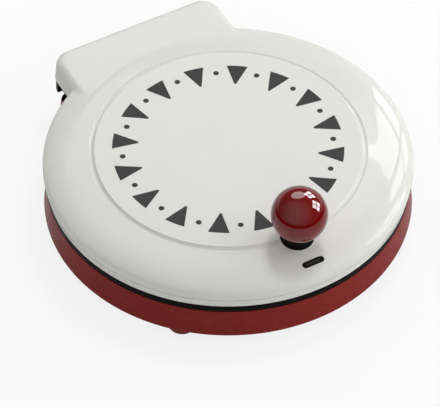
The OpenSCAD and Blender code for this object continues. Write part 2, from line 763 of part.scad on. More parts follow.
module hinge_cover() color(black_bezel) difference() {
    union() {
        translate([0, 0, cover_z]) linear_extrude(hood_z - cover_z) hood_outline();
        translate([0, 0, beam_z]) linear_extrude(hood_z - beam_z) intersection() {
            hood_outline();
            translate([-hood_w / 2, beam_in_y]) square([hood_w, hood_back - beam_in_y]);
        }
    }
    cylinder(r = top_r + 0.8, h = lid_top);
    mirror_x() translate([bracket_x - notch_w / 2, 0, 0]) cube([notch_w, web_y, cover_z]);
    along_hinge(pin_r + pin_clear, pin_half + 0.5);
    mirror_x() for (p = cover_screw_places) translate([p.x, p.y, 0])
        cylinder(r = screw_r + 0.3, h = lid_top);
}

cover_screw_side = 7.5;               // outer screws, from the side of the hood
cover_screw_fore = 16;                // and in front of the hinge axis
beam_screw_in = 24;                   // inner screws, from the middle of a bracket
beam_screw_fore = 8;                  // and in front of the hinge axis
cover_screw_l = 11;
cover_screw_places = [[hood_w / 2 - cover_screw_side, axis_y - cover_screw_fore],
    [bracket_x - beam_screw_in, axis_y - beam_screw_fore]];

module cover_screws() color(bright_steel) mirror_x() for (p = cover_screw_places)
    translate([p.x, p.y, cover_z]) screw_up(cover_screw_l, screw_r, screw_head_r - 0.4);

// ---------------------------------------------------------------- lid shell

// the rim curve, t = 0 at the shoulder and 90 at the crease
function rim_point(t) = let (x = shoulder_r + rim_w * pow(sin(t), 2 / rim_power))
    [x, shoulder_z - tan(rim_slope) * (x - shoulder_r)
        - rim_drop * (1 - pow(cos(t), 2 / rim_power))];
function rim_normal(t) = let (d = rim_point(min(t + 0.5, 90)) - rim_point(max(t - 0.5, 0)))
    [-d.y, d.x] / norm(d);
function rim_curve(off) = [for (i = [0:14]) let (t = 90 - 90 * i / 14)
    rim_point(t) - off * rim_normal(t)];

// top of the lid from the shoulder in to the axis, with the groove
function lid_crown(off) = let (n = 8) concat(
    [[shoulder_r - 0.5, shoulder_z + 0.05 - off]],
    [for (i = [0:n]) let (u = i / n)
        [lip_r - groove_w * u, lip_z + (lid_top - lip_z) * u - groove_d * sin(180 * u) - off]],
    [[0, lid_top - off]]);

// flange under the crease, from the lower edge up
function lid_flange() = [
    [flange_r, lid_z], [flange_r + lip_out, lid_z + 0.4], [flange_r + lip_out, lid_z + lip_h],
    [flange_r + 0.1, lid_z + lip_h + 0.5], [lid_r - crease_in, crease_z - 0.9],
    [lid_r - crease_in, crease_z - 0.4]];

// the lid as a solid; off draws every face in, below runs past the lower edge
module lid_round(off = 0, below = 0)
    rotate_extrude($fn = 180) polygon(off == 0
        ? concat([[0, lid_z]], lid_flange(), rim_curve(0), lid_crown(0))
        : concat([[0, lid_z - below], [flange_r - off, lid_z - below],
            [flange_r - off, crease_z - 2]], rim_curve(off), lid_crown(off)));

// wall section of the hood, its top edge rounded
function hood_section(off, below) = concat([[-off, hood_z - below]],
    arc([-hood_edge_r, hood_top - hood_edge_r], hood_edge_r - off, 0, 90));

module hood_solid(off = 0, below = 0)
    walled_block(hood_section(off, below), hood_w / 2, hood_from_y, hood_back, hood_corner_r);

rib_w = 3;
rib_h = 5;

// screw bosses of the lid, each with a rib that holds the upper plate down in its bezel
module lid_bosses() around(screw_count, pillar_turn) {
    translate([lid_boss_at, 0, lid_z + lid_bezel_h]) cylinder(r = lid_boss_r, h = hood_h);
    translate([upper_tray_in_r + fit, -rib_w / 2, tab_z])
        cube([lid_boss_at - upper_tray_in_r - fit, rib_w, rib_h]);
}

// two short posts that the lamp board hangs from
module board_posts() at_window() for (s = [-1, 1])
    translate([s * board_post_x, 0, board_top]) cylinder(r = 2, h = -board_top - wall / 2);

// posts in the hood for the screws of its cover
module cover_posts() mirror_x() for (p = cover_screw_places) translate([p.x, p.y, hood_z])
    difference() {
        cylinder(r = 2 * screw_r, h = hood_top - wall / 2 - hood_z);
        translate([0, 0, -cut]) cylinder(r = screw_r + screw_clear, h = cover_screw_l);
    }

// everything that leans with the knob, its seat on z = 0
module at_knob() translate([0, -knob_at, knob_seat_z]) rotate([knob_lean, 0, 0]) children();

// the window's own frame: its centre on the lid surface, Z along the surface normal
window_s = (window_at - shoulder_r) / rim_w;
window_t = asin(pow(window_s, rim_power / 2));
window_tilt = atan2(rim_normal(window_t).x, rim_normal(window_t).y);
module at_window() translate([0, -window_at, rim_point(window_t).y])
    rotate([window_tilt, 0, 0]) children();

module lid_shell() color(white_shell) difference() {
    union() {
        difference() {
            union() {
                lid_round();
                hood_solid();
            }
            lid_round(wall, cut);
            hood_solid(wall, cut);
        }
        intersection() {
            lid_bosses();
            union() {
                lid_round(wall / 2);
                hood_solid(wall / 2);
            }
        }
        cover_posts();
        board_posts();
        // flat seat for the knob's collar, let into the disc and proud of the shoulder
        at_knob() translate([0, 0, -knob_wall])
            cylinder(r1 = boss_r + 0.4, r2 = boss_r, h = knob_wall);
    }
    at_knob() cylinder(r = boss_r, h = 5);
    at_knob() translate([0, 0, -20]) cylinder(r = stud_r + 0.2, h = 30);
    at_knob() translate([0, 0, -15 - knob_wall]) cylinder(r = washer_r + 1, h = 15);
    around(screw_count, pillar_turn) translate([lid_boss_at, 0, lid_z])
        cylinder(r = screw_r + screw_clear, h = head_h + 0.2 + lid_screw_l + cut);
    at_window() translate([0, 0, -8]) stadium(window_l + 0.3, window_w + 0.3, 16);
}

knob_wall = 3.6;                      // lid thickness under the knob

// ---------------------------------------------------------------- lid bezel

module lid_bezel() color(black_bezel) difference() {
    rotate_extrude() polygon([
        [dish_r + 0.8, lid_z + 0.4], [dish_r + 1.2, lid_z], [lid_in_r - fit, lid_z],
        [lid_in_r - fit, lid_z + lid_bezel_h], [upper_flange_r + fit, lid_z + lid_bezel_h],
        [upper_flange_r + fit, upper_rim_z], [dish_r + 0.8, upper_rim_z]]);
    around(screw_count, pillar_turn) translate([lid_boss_at, 0, lid_z - cut]) {
        cylinder(r = screw_r + 0.3, h = lid_bezel_h + 2 * cut);
        cylinder(r = screw_head_r + 0.2, h = cut + head_h + 0.2);
    }
}

lid_screw_l = 10;

module lid_screws() color(bright_steel) around(screw_count, pillar_turn)
    translate([lid_boss_at, 0, lid_z + head_h + 0.2]) screw_up(lid_screw_l);

// ---------------------------------------------------------------- knob

module knob_ball() color(red_shell) at_knob() difference() {
    translate([0, 0, collar_h + ball_seat]) sphere(ball_r);
    translate([0, 0, collar_h - ball_r]) cylinder(r = ball_r, h = ball_r);
    translate([0, 0, collar_h - cut]) cylinder(r = stud_r + insert_wall, h = stud_reach + cut + 1);
}

module knob_insert() color(brass_yellow) at_knob() translate([0, 0, collar_h]) difference() {
    cylinder(r = stud_r + insert_wall, h = stud_reach);
    translate([0, 0, -cut]) cylinder(r = stud_r + screw_clear, h = stud_reach + 2 * cut);
}

waist_in = 1.4;                       // how far the collar narrows above its base
waist_r = 3;

module knob_collar() color(black_bezel) at_knob() difference() {
    rotate_extrude() polygon(concat(
        [[0, 0], [collar_r - 0.6, 0], [collar_r, 0.6], [collar_r, 1.8], [collar_r - 0.4, 2.4]],
        arc([collar_r + waist_r - waist_in, 2.4 + waist_r], waist_r, 240, 180),
        [[collar_r - waist_in, collar_h - 0.6], [collar_r - waist_in - 0.6, collar_h],
         [0, collar_h]]));
    translate([0, 0, -cut]) cylinder(r = stud_r + 0.2, h = collar_h + 2 * cut);
}

module knob_stud() color(bright_steel) at_knob() {
    translate([0, 0, -knob_wall - washer_h])
        cylinder(r = stud_r, h = knob_wall + washer_h + collar_h + stud_reach - 2);
    translate([0, 0, -knob_wall - washer_h - stud_head_h])
        cylinder(r = 5, h = stud_head_h, $fn = 6);
}

module knob_washer() color(bright_steel) at_knob() translate([0, 0, -knob_wall - washer_h])
    difference() {
        cylinder(r = washer_r, h = washer_h);
        translate([0, 0, -cut]) cylinder(r = stud_r + 0.2, h = washer_h + 2 * cut);
    }

// ---------------------------------------------------------------- indicator

lens_top = -0.5;                      // lens sits just below the surface
lens_base = -wall - 0.4;              // top of the rim that holds the lens from inside
lens_rim_t = 1;
lamp_r = 2.4;
lamp_h = 4;
board_t = 1.6;
board_w = 9;
board_top = lens_base - lens_rim_t - lamp_h;
board_post_x = window_l / 2 + 4.5;

module indicator_lens() color("#101010") at_window() {
    translate([0, 0, lens_base]) stadium(window_l, window_w, lens_top - lens_base);
    translate([0, 0, lens_base - lens_rim_t]) stadium(window_l + 3, window_w + 3, lens_rim_t);
}

module indicator_lamps() color("#b5482f") at_window() for (s = [-1, 1])
    translate([s * window_l / 4, 0, board_top]) cylinder(r = lamp_r, h = lamp_h);

module lamp_board() color("#3f6b3a") at_window()
    translate([-board_post_x - 3, -board_w / 2, board_top - board_t])
        cube([2 * board_post_x + 6, board_w, board_t]);

// ---------------------------------------------------------------- assembly

place() base_shell();
place() feet();
place() foot_pads();
place() foot_screws();
place() base_bezel();
place() lower_plate();
place() lower_heater();
place() lower_heater_terminals();
place() lower_reflector();
place() lower_reflector_screws();
place() lower_thermostat();
place() thermal_fuse();
place() terminal_block();
place() base_screws();
place() cord_gland();
place() hinge_brackets();
place() hinge_screws();
place() hinge_pin();
place() lid_shell();
place() lid_bezel();
place() upper_plate();
place() upper_heater();
place() upper_heater_terminals();
place() upper_reflector();
place() upper_reflector_screws();
place() upper_thermostat();
place() lid_screws();
place() hinge_cover();
place() cover_screws();
place() knob_ball();
place() knob_insert();
place() knob_collar();
place() knob_stud();
place() knob_washer();
place() indicator_lens();
place() indicator_lamps();
place() lamp_board();
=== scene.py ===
"""Electric pizza maker: a red base, a white domed lid with a hinge hood, and a ball knob.

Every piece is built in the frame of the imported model, in metres. The sizes below are in
millimetres about the axis of the round base, as a maker would read them off a drawing.
"""

import math

import bmesh
import bpy
import numpy as np
from mathutils import Matrix, Vector


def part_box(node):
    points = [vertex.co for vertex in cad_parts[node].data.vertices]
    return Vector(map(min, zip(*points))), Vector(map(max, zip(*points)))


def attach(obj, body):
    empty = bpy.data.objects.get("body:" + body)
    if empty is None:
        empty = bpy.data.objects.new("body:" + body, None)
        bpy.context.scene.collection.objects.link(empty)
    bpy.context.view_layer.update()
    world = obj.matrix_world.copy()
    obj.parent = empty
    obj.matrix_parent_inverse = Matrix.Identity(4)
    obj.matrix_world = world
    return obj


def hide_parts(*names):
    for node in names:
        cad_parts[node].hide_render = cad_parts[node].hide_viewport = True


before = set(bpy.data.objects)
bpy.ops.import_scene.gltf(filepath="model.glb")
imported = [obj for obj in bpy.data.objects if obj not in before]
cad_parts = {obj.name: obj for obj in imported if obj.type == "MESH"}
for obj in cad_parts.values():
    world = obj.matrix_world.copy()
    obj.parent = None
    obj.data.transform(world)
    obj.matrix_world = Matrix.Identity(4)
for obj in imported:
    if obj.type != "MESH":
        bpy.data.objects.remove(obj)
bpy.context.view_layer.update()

bl_info = {
    "name": "Electric Pizza Maker",
    "version": (1, 0, 0),
    "blender": (4, 5, 0),
    "location": "View3D > Sidebar > Pizza Maker",
    "description": "Dresses the packed pizza maker with moulded shells, plates and finishes",
    "category": "Object",
}

MM = 0.001
PLATE_LOW, PLATE_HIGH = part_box("lower_plate")
AXIS_Y = (PLATE_LOW.y + PLATE_HIGH.y) / 2  # the axis of the round base, along Y
TO_FRAME = Matrix.Translation((0, AXIS_Y, 0)) @ Matrix.Scale(MM, 4)  # millimetres to the frame

# ---------------------------------------------------------------- sizes, in millimetres

# lid, from its lower edge up
LID_Z = 47.0
CREASE_Z = 58.0  # where the rim ends and the flange starts
LID_TOP = 76.0
LID_R = 165.0
FLANGE_R = 162.4
SHOULDER_R, SHOULDER_Z = 137.0, 73.2  # where the rim's curve starts
LIP_R, LIP_Z = 124.0, 74.6  # outer lip of the groove round the disc
DISC_R = 118.8
GROOVE_DEPTH = 1.7
WALL = 2.5
RIM_W = LID_R - SHOULDER_R
RIM_SLOPE = math.radians(9)
RIM_POWER = 3.0  # 2 is an ellipse, and more is squarer
RIM_DROP = SHOULDER_Z - CREASE_Z - RIM_W * math.tan(RIM_SLOPE)

# groove under the rim's edge: (in from LID_R, down from CREASE_Z, fillet)
CREASE = ((0.0, 0.45, 0.3), (2.1, 0.95, 0.35), (2.1, 2.1, 0.35), (0.55, 2.7, 0.4))
# lower edge of the flange: (out from FLANGE_R, up from LID_Z, fillet)
FLANGE_EDGE = ((0.5, 1.9, 0.5), (0.5, 1.2, 0.25), (0.5, 0.3, 0.25), (0.0, 0.0, 0.0))
# the straight line that stands for the flange where the hood flows into it
FLANGE_LINE_Z, FLANGE_LINE_R = (LID_Z, CREASE_Z - 0.9), (FLANGE_R + 0.3, LID_R - 1.2)

# hood over the hinge
HOOD_HALF = 84.5  # half its width at the lower edge
HOOD_BACK = 183.8
HOOD_Z = 51.52  # its lower edge
HOOD_TOP = 72.8
HOOD_CORNER = 16.0  # radius of its rear corners
HOOD_EDGE = 6.5  # radius along its top edge
HOOD_DRAFT = 2.3  # how much each side leans in over its height
HOOD_FALL = 0.019  # slope of its top towards the front
HOOD_LIP_UP, HOOD_LIP_IN = (0.0, 0.15, 0.5), (0.5, 0.15, 0.0)  # the rounding of its lower edge
BLEND_Z, BLEND = (47.0, 60.0, 70.0, 72.0), (2.0, 3.0, 2.6, 1.4)  # fillet between hood and dome
HOOD_REACH = 70.0  # no point of the dome has further to go to the hood's face
HALVINGS = 44  # how often the search for that face halves its span
HOOD_SPREAD = 0.75  # sine of the angle from the rear within which the hood stands

# knob
KNOB_AT = 122.5  # in front of the axis
KNOB_LEAN = math.radians(6)
KNOB_SEAT_Z = 75.3
PAD_R = 15.6
PAD_DEEP = 3.6
COLLAR_R = 15.0
COLLAR_H = 11.0
COLLAR_STEP = 1.4  # how much narrower the collar is above its foot
BALL_UP = 32.2  # its centre above the seat
BALL_FLAT = 21.45  # its flat foot below the centre

# printed marks on the disc
MARK_LONG = 23.0
MARK_TIP = 0.8  # half the width of a slice's tip
MARK_T = 0.12
DOT_IN = 9.0  # the dots' centres, in from the slices' crusts
DOT_R = 2.6

# indicator window
WINDOW_AT = 151.0  # in front of the axis
WINDOW_L = 21.0
WINDOW_W = 6.0
WINDOW_GAP = 0.3  # how much longer and wider the hole in the lid is
HOLE_REACH = 8.0  # how far the cut for the hole goes to each side of the rim
STRIP_L = 15.4
STRIP_W = 2.8
STRIP_DEEP = 0.4
STRIP_UP = 0.05  # how far the strip stands above the lens


# ---------------------------------------------------------------- mesh helpers


def mesh_of(name, verts, faces, at):
    """A closed mesh in the frame, from points in millimetres in a place of their own."""
    mesh = bpy.data.meshes.new(name)
    mesh.from_pydata([tuple(v) for v in verts], [], [tuple(f) for f in faces])
    mesh.transform(TO_FRAME @ at)
    mesh.validate()
    work = bmesh.new()
    work.from_mesh(mesh)
    bmesh.ops.remove_doubles(work, verts=work.verts, dist=1e-7)
    bmesh.ops.recalc_face_normals(work, faces=work.faces)
    work.to_mesh(mesh)
    work.free()
    return mesh


def shade(piece, material, smooth):
    """Gives a piece its material and smooth shading, which breaks at edges past so many degrees."""
    piece.data.materials.clear()
    piece.data.materials.append(material)
    piece.data.shade_smooth()
    piece.data.set_sharp_from_angle(angle=math.radians(smooth))


def put(name, shape, body, finish, replaces=(), smooth=32, at=Matrix()):
    """Makes one closed piece from points and faces, which rides on its body."""
    piece = bpy.data.objects.new(name, mesh_of(name, *shape, at))
    bpy.context.scene.collection.objects.link(piece)
    shade(piece, FINISHES[finish], smooth)
    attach(piece, body)
    if replaces:
        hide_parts(*replaces)
    return piece


def combine(piece, shape, at, operation):
    """Joins a closed form to a piece, or cuts it out of the piece."""
    mesh = mesh_of("tool", *shape, at)
    tool = bpy.data.objects.new("tool", mesh)
    bpy.context.scene.collection.objects.link(tool)
    step = piece.modifiers.new("step", "BOOLEAN")
    step.operation, step.object, step.solver = operation, tool, "EXACT"
    graph = bpy.context.evaluated_depsgraph_get()
    made = bpy.data.meshes.new_from_object(piece.evaluated_get(graph))
    piece.modifiers.clear()
    old, piece.data = piece.data, made
    bpy.data.meshes.remove(old)
    bpy.data.objects.remove(tool)
    bpy.data.meshes.remove(mesh)


def stadium(length, width, low, high, steps=24):
    """Points and faces of a bar with round ends, long along X, between two heights."""
    reach, r = (length - width) / 2, width / 2
    ring = []
    for side, start in ((1, -math.pi / 2), (-1, math.pi / 2)):
        for k in range(steps + 1):
            a = start + math.pi * k / steps
            ring.append((side * reach + r * math.cos(a), r * math.sin(a)))
    count = len(ring)
    verts = [(x, y, z) for z in (low, high) for x, y in ring]
    faces = [list(range(count))[::-1], list(range(count, 2 * count))]
    faces += [(i, (i + 1) % count, (i + 1) % count + count, i + count) for i in range(count)]
    return verts, faces


def lathe_mesh(profile, steps):
    """Points and faces of a solid turned about Z. The profile's points on the axis are poles."""
    verts, faces, rings = [], [], []
    for r, z in profile:
        if r < 1e-6:
            rings.append([len(verts)])
            verts.append((0.0, 0.0, z))
            continue
        start = len(verts)
        for i in range(steps):
            a = 2 * math.pi * i / steps
            verts.append((r * math.cos(a), r * math.sin(a), z))
        rings.append(list(range(start, start + steps)))
    for low, high in zip(rings, rings[1:]):
        for i in range(steps):
            j = (i + 1) % steps
            if len(low) == 1:
                faces.append((low[0], high[j], high[i]))
            elif len(high) == 1:
                faces.append((low[i], low[j], high[0]))
            else:
                faces.append((low[i], low[j], high[j], high[i]))
    return verts, faces


def rounded(corners, steps=6):
    """A profile whose corners are filleted. Each corner is (r, z, fillet radius)."""
    points, count = [], len(corners)
    for i, (r, z, fillet) in enumerate(corners):
        here = Vector((r, z))
        if fillet <= 0:
            points.append((r, z))
            continue
        before = Vector(corners[i - 1][:2]) - here
        after = Vector(corners[(i + 1) % count][:2]) - here
        half = before.angle(after) / 2
        reach = min(fillet / math.tan(half), 0.49 * before.length, 0.49 * after.length)
        radius = reach * math.tan(half)
        start, end = here + before.normalized() * reach, here + after.normalized() * reach
        inward = (before.normalized() + after.normalized()).normalized()
        centre = here + inward * (radius / math.sin(half))
        for k in range(steps + 1):
            arm = (start - centre).lerp(end - centre, k / steps).normalized() * radius
            points.append(tuple(centre + arm))
    return points


def knob_matrix(up=0.0):
    """Places a piece on the leaning axis of the knob, so far above its seat."""
    return (
        Matrix.Translation((0, -KNOB_AT, KNOB_SEAT_Z))
        @ Matrix.Rotation(KNOB_LEAN, 4, "X")
        @ Matrix.Translation((0, 0, up))
    )


def window_matrix():
    """Places a piece square to the rim where the indicator window lies."""
    t = math.asin(((WINDOW_AT - SHOULDER_R) / RIM_W) ** (RIM_POWER / 2))
    before, after = Vector(rim_point(t - 0.01)), Vector(rim_point(t + 0.01))
    tilt = math.atan2(before.y - after.y, after.x - before.x)
    place = Matrix.Translation((0, -WINDOW_AT, rim_point(t)[1]))
    return place @ Matrix.Rotation(tilt, 4, "X")


def in_mm(length):
    """A setting's length in millimetres."""
    return round(length / MM, 4)


# ---------------------------------------------------------------- the lid's form


def rim_point(t):
    """Point of the rim curve, t from 0 at the shoulder to a quarter turn at the crease."""
    x = RIM_W * math.sin(t) ** (2 / RIM_POWER)
    drop = RIM_DROP * (1 - math.cos(t) ** (2 / RIM_POWER))
    return SHOULDER_R + x, SHOULDER_Z - math.tan(RIM_SLOPE) * x - drop


def lid_profile():
    """Outer profile of the lid from the axis to the lower edge: (r, z, and the way outwards)."""
    rows = [(0.0, LID_TOP)]
    rows += [(r, LID_TOP) for r in np.linspace(12, DISC_R - 3.0, 10)]
    rows += [(r, groove_z(r)) for r in np.linspace(DISC_R - 1.6, LIP_R + 1.6, 27)]
    rows += [(r, ring_z(r)) for r in np.linspace(LIP_R + 3.0, SHOULDER_R - 2.4, 5)]
    rows = [(r, z, 0.0, 1.0) for r, z in rows]
    rim = [rim_point(t) for t in (np.linspace(0.02, 1, 90) ** 1.25) * math.pi / 2]
    rim[-1] = (LID_R, CREASE_Z)
    for i, (r, z) in enumerate(rim):
        after = rim[min(i + 1, len(rim) - 1)]
        before = rim[max(i - 1, 0)]
        d = Vector((abs(before[1] - after[1]), abs(after[0] - before[0]))).normalized()
        rows.append((r, z, d.x, d.y))
    corners = [(LID_R - inset, CREASE_Z - down, fillet) for inset, down, fillet in CREASE]
    corners += [(FLANGE_R + out, LID_Z + up, fillet) for out, up, fillet in FLANGE_EDGE]
    flange = [point for point in rounded(corners, 4) if point[1] < CREASE_Z - 0.3]
    for step in (*HOOD_LIP_UP, WALL - 0.05, WALL + 0.05):
        add_row(flange, HOOD_Z + step)
    return rows + [(r, z, 1.0, 0.0) for r, z in flange]


def add_row(points, z):
    """Adds the point of a falling profile that lies at a height."""
    k = next(i for i in range(len(points) - 1) if points[i][1] > z > points[i + 1][1])
    (r0, z0), (r1, z1) = points[k], points[k + 1]
    points.insert(k + 1, (r0 + (r1 - r0) * (z0 - z) / (z0 - z1), z))


def groove_z(r):
    """Height of the disc, the groove around it and its outer lip."""
    if r <= DISC_R:
        return LID_TOP
    if r >= LIP_R:
        return ring_z(r)
    u = (LIP_R - r) / (LIP_R - DISC_R)
    return LIP_Z + (LID_TOP - LIP_Z) * u - GROOVE_DEPTH * math.sin(math.pi * u)


def ring_z(r):
    """Height of the flat ring between the groove and the shoulder."""
    u = (r - LIP_R) / (SHOULDER_R - LIP_R)
    return LIP_Z + (SHOULDER_Z - LIP_Z) * u


def lid_columns():
    """Angles of the lid's columns from the rear, closer together where the hood joins the dome."""
    half = np.concatenate(
        [
            np.arange(0.0, 18.0, 1.0),
            np.arange(18.0, 26.0, 0.4),
            np.arange(26.0, 42.0, 0.25),
            np.arange(42.0, 171.0, 1.5),
            np.arange(171.0, 180.01, 0.5),
        ]
    )
    return np.radians(np.concatenate([half, -half[1:-1][::-1]]))


def dome_gap(r, z):
    """About how far a point is outside the plain dome."""
    a = np.maximum((r - SHOULDER_R) / RIM_W, 1e-6)
    line = SHOULDER_Z - math.tan(RIM_SLOPE) * np.maximum(r - SHOULDER_R, 0)
    b = np.maximum(1 - (line - z) / RIM_DROP, 1e-6)
    g = (a**RIM_POWER + b**RIM_POWER) ** (1 / RIM_POWER)
    ga = (a / g) ** (RIM_POWER - 1) / RIM_W
    gb = (b / g) ** (RIM_POWER - 1) / RIM_DROP
    rim = (g - 1) / np.hypot(ga, gb)
    flange = r - np.interp(z, FLANGE_LINE_Z, FLANGE_LINE_R)
    return np.where(z < CREASE_Z, flange, rim)


def past_corner(p, q, radius):
    """How far a point is outside a rounded corner, from how far it is past the curve's start."""
    return np.hypot(np.maximum(p, 0), np.maximum(q, 0)) + np.minimum(np.maximum(p, q), 0) - radius


def hood_gap(x, y, z):
    """How far a point is outside the hood, whose rear corners and top edge are rounded."""
    up = (z - HOOD_Z) / (HOOD_TOP - HOOD_Z)
    past_side = np.abs(x) - (HOOD_HALF - HOOD_DRAFT * up - HOOD_CORNER)
    side = past_corner(past_side, y - (HOOD_BACK - HOOD_CORNER), HOOD_CORNER)
    rise = z - HOOD_TOP + HOOD_FALL * (HOOD_BACK - y)
    return past_corner(side + HOOD_EDGE, rise + HOOD_EDGE, HOOD_EDGE)


def lid_gap(x, y, z):
    """How far a point is outside dome and hood, which flow into each other at the sides."""
    a, b = dome_gap(np.hypot(x, y), z), hood_gap(x, y, z)
    blend = np.interp(z, BLEND_Z, BLEND)
    h = np.clip(0.5 + 0.5 * (b - a) / blend, 0, 1)
    return b * (1 - h) + a * h - blend * h * (1 - h)


def lid_surface(depth):
    """The lid's surface, depth below its outer face, as an array of columns by rows by xyz."""
    r_out, z_out, dr, dz = np.array(lid_profile()).T
    angle = lid_columns()[:, None]
    r0 = np.broadcast_to(r_out - depth * dr, (len(angle), len(r_out)))
    z0 = np.broadcast_to(z_out - depth * dz, r0.shape)

    def gap(t):
        r, z = r0 + t * dr, z0 + t * dz
        return lid_gap(r * np.sin(angle), r * np.cos(angle), z) + depth

    # halve the span in which each point leaves the lid on its way outwards
    low, high = np.zeros(r0.shape), np.full(r0.shape, HOOD_REACH)
    for _ in range(HALVINGS):
        mid = (low + high) / 2
        inside = gap(mid) < 0
        low, high = np.where(inside, mid, low), np.where(inside, high, mid)
    near_hood = (np.abs(np.sin(angle)) < HOOD_SPREAD) & (np.cos(angle) > 0)
    crown = r_out < SHOULDER_R
    under = z0 < HOOD_Z + (depth if depth > 0 else -1e-6)
    low = np.maximum(low - np.interp(z0, [HOOD_Z + up for up in HOOD_LIP_UP], HOOD_LIP_IN), 0)
    t = np.where(near_hood & ~crown & ~under & (low > 1e-4), low, 0.0)
    r, z = r0 + t * dr, z0 + t * dz
    return np.stack([r * np.sin(angle), r * np.cos(angle), z], axis=-1)


def lid_mesh():
    """Points and faces of the lid shell: outer skin, inner skin and the edge between them."""
    skins = lid_surface(0.0), lid_surface(WALL)
    columns, rows = skins[0].shape[:2]
    verts, faces = [], []
    for skin in skins:
        skin[:, -1, 2] = LID_Z
        verts.append(tuple(skin[0, 0]))
        verts += [tuple(skin[c, k]) for c in range(columns) for k in range(1, rows)]
    half = 1 + columns * (rows - 1)

    def at(side, c, k):
        return side * half + (0 if k == 0 else 1 + (c % columns) * (rows - 1) + k - 1)

    for side in (0, 1):
        for c in range(columns):
            for k in range(rows - 1):
                steps = ((c, k), (c, k + 1), (c + 1, k + 1), (c + 1, k))
                face = list(dict.fromkeys(at(side, *step) for step in steps))
                faces.append(face if side else face[::-1])
    for c in range(columns):
        edge = rows - 1
        faces.append([at(0, c, edge), at(1, c, edge), at(1, c + 1, edge), at(0, c + 1, edge)])
    return verts, faces


# ---------------------------------------------------------------- printed marks


def dot_outline(ring, steps=20):
    """A round dot between two slices."""
    turns = [2 * math.pi * k / steps for k in range(steps)]
    return [(DOT_R * math.cos(a), ring - DOT_IN + DOT_R * math.sin(a)) for a in turns]


def slice_outline(ring, width):
    """A slice that points inwards. Its crust is an arc about the disc's axis."""
    half = width / 2 / ring
    crust = [(ring * math.sin(a), ring * math.cos(a)) for a in np.linspace(half, -half, 14)]
    return crust + [(-MARK_TIP, ring - MARK_LONG), (MARK_TIP, ring - MARK_LONG)]


def add_print(verts, faces, outline, turn):
    """Adds a thin printed film with the given outline, turned about the axis of the disc."""
    start, count = len(verts), len(outline)
    c, s = math.cos(turn), math.sin(turn)
    for z in (LID_TOP - MARK_T, LID_TOP + MARK_T):
        verts += [(c * x - s * y, s * x + c * y, z) for x, y in outline]
    low, high = range(start, start + count), range(start + count, start + 2 * count)
    faces += [list(low)[::-1], list(high)]
    for k in range(count):
        j = (k + 1) % count
        faces.append((low[k], low[j], high[j], high[k]))


# ---------------------------------------------------------------- materials


def srgb(r, g, b):
    """A colour as a painter reads it, 0 to 255, as Blender wants it."""
    shares = [c / 255 for c in (r, g, b)]
    linear = [s / 12.92 if s <= 0.04045 else ((s + 0.055) / 1.055) ** 2.4 for s in shares]
    return (*linear, 1.0)


def scaled(colour, factor):
    """A colour made lighter or darker."""
    return tuple(min(1.0, c * factor) for c in colour[:3]) + (1.0,)


class Graph:
    """The nodes of one material or of the world, with short ways to add to them."""

    def __init__(self, owner):
        owner.use_nodes = True
        self.nodes, self.links = owner.node_tree.nodes, owner.node_tree.links
        self.nodes.clear()

    def add(self, kind, inputs, **settings):
        """A node with its settings. Each input is given a value, or a socket that feeds it."""
        node = self.nodes.new("ShaderNode" + kind)
        for name, value in settings.items():
            setattr(node, name, value)
        for name, value in inputs.items():
            self.feed(node.inputs[name], value)
        return node

    def feed(self, socket, value):
        """Links a socket to another, or gives it a value."""
        if isinstance(value, bpy.types.NodeSocket):
            self.links.new(value, socket)
        else:
            socket.default_value = value

    def noise(self, where, scale, detail=4.0):
        """A noise texture at so many features a metre."""
        inputs = {"Vector": where, "Scale": scale, "Detail": detail, "Roughness": 0.55}
        return self.add("TexNoise", inputs).outputs["Fac"]

    def ranged(self, value, low, high, start=0.3, end=0.7):
        """Maps a value between start and end to a range, and holds it at the range's ends."""
        inputs = {"Value": value, "From Min": start, "From Max": end, "To Min": low, "To Max": high}
        return self.add("MapRange", inputs).outputs["Result"]

    def tinted(self, factor, a, b):
        """A mix of two colours by a factor."""
        inputs = {"Factor": factor, "A": a, "B": b}
        return self.add("Mix", inputs, data_type="RGBA").outputs["Result"]

    def maths(self, operation, *values):
        """The result of a sum with two or three values."""
        return self.add("Math", dict(enumerate(values)), operation=operation).outputs[0]

    def along(self, where, way):
        """How far a vector reaches along a way."""
        return self.add("VectorMath", {0: where, 1: way}, operation="DOT_PRODUCT").outputs["Value"]

    def behind(self, where, start, end):
        """A share that rises from 0 to 1 towards the side that the camera faces."""
        turn = math.radians(CAMERA_TURN)
        return self.ranged(self.along(where, (math.sin(turn), math.cos(turn), 0)), 0, 1, start, end)

    def bumped(self, shader, height, strength, distance):
        """Raises a surface by a height, over any relief that it already has."""
        inputs = {"Strength": strength, "Distance": distance, "Height": height}
        node = self.add("Bump", inputs)
        socket = shader.inputs["Normal"]
        if socket.is_linked:
            self.links.new(socket.links[0].from_socket, node.inputs["Normal"])
        self.links.new(node.outputs["Normal"], socket)

    def surface(self, kind, share, a, b):
        """Mixes two shaders by a share and sends them to the output of a Material or World."""
        mix = self.add("MixShader", {0: share, 1: a.outputs[0], 2: b.outputs[0]})
        self.add("Output" + kind, {"Surface": mix.outputs[0]})


def new_material(name):
    """A material with its nodes, its shader and its object coordinates."""
    material = bpy.data.materials.new(name)
    graph = Graph(material)
    shader = graph.add("BsdfPrincipled", {})
    graph.add("OutputMaterial", {"Surface": shader.outputs["BSDF"]})
    return material, graph, shader, graph.add("TexCoord", {}).outputs["Object"]


